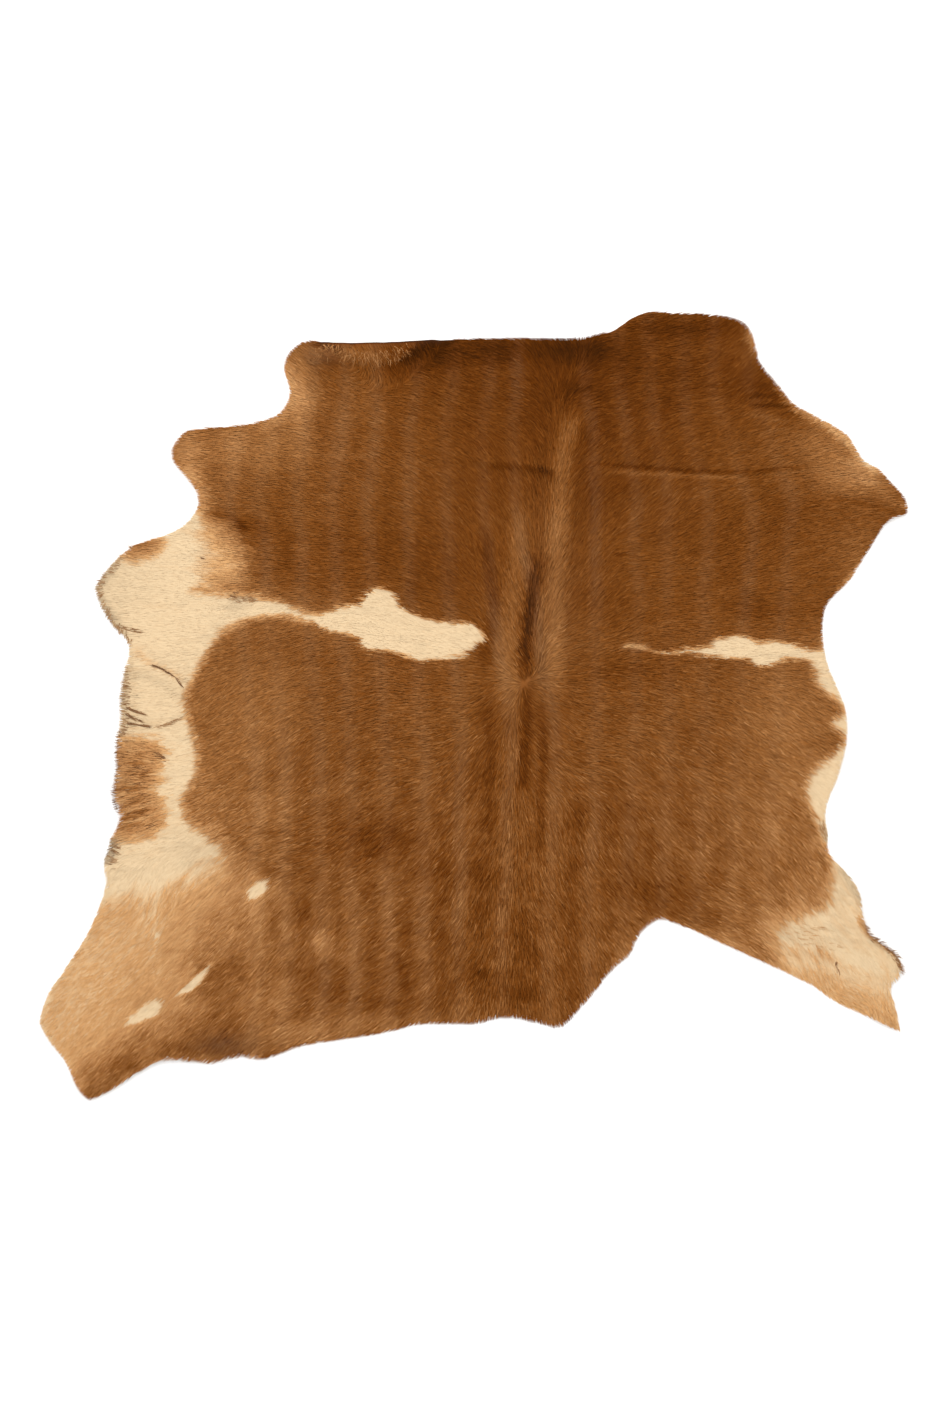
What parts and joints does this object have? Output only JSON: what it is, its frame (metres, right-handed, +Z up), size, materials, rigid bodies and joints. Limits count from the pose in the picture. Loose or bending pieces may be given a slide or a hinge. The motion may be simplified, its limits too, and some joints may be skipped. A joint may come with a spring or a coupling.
{
  "type": "hair-on calfskin",
  "caption": "Hair-on calfskin laid out flat, brown with cream markings, with leg and neck lobes, a ragged cut edge and soft folds, used as a rug or a throw.",
  "frame": {"origin": "centre of the skin's box, on the surface that it lies on", "axes": "+X across the skin from its left legs to its right legs as seen from above, +Y from rump to neck, +Z up out of the hair"},
  "size_m": [0.954, 0.868, 0.0145],
  "materials": {
    "hair": "short smooth hair with a soft sheen, brown with cream markings",
    "flesh_side": "pale tanned underside with a fine suede nap"
  },
  "bodies": {
    "root": {"hide": "hair"}
  },
  "joints": []
}
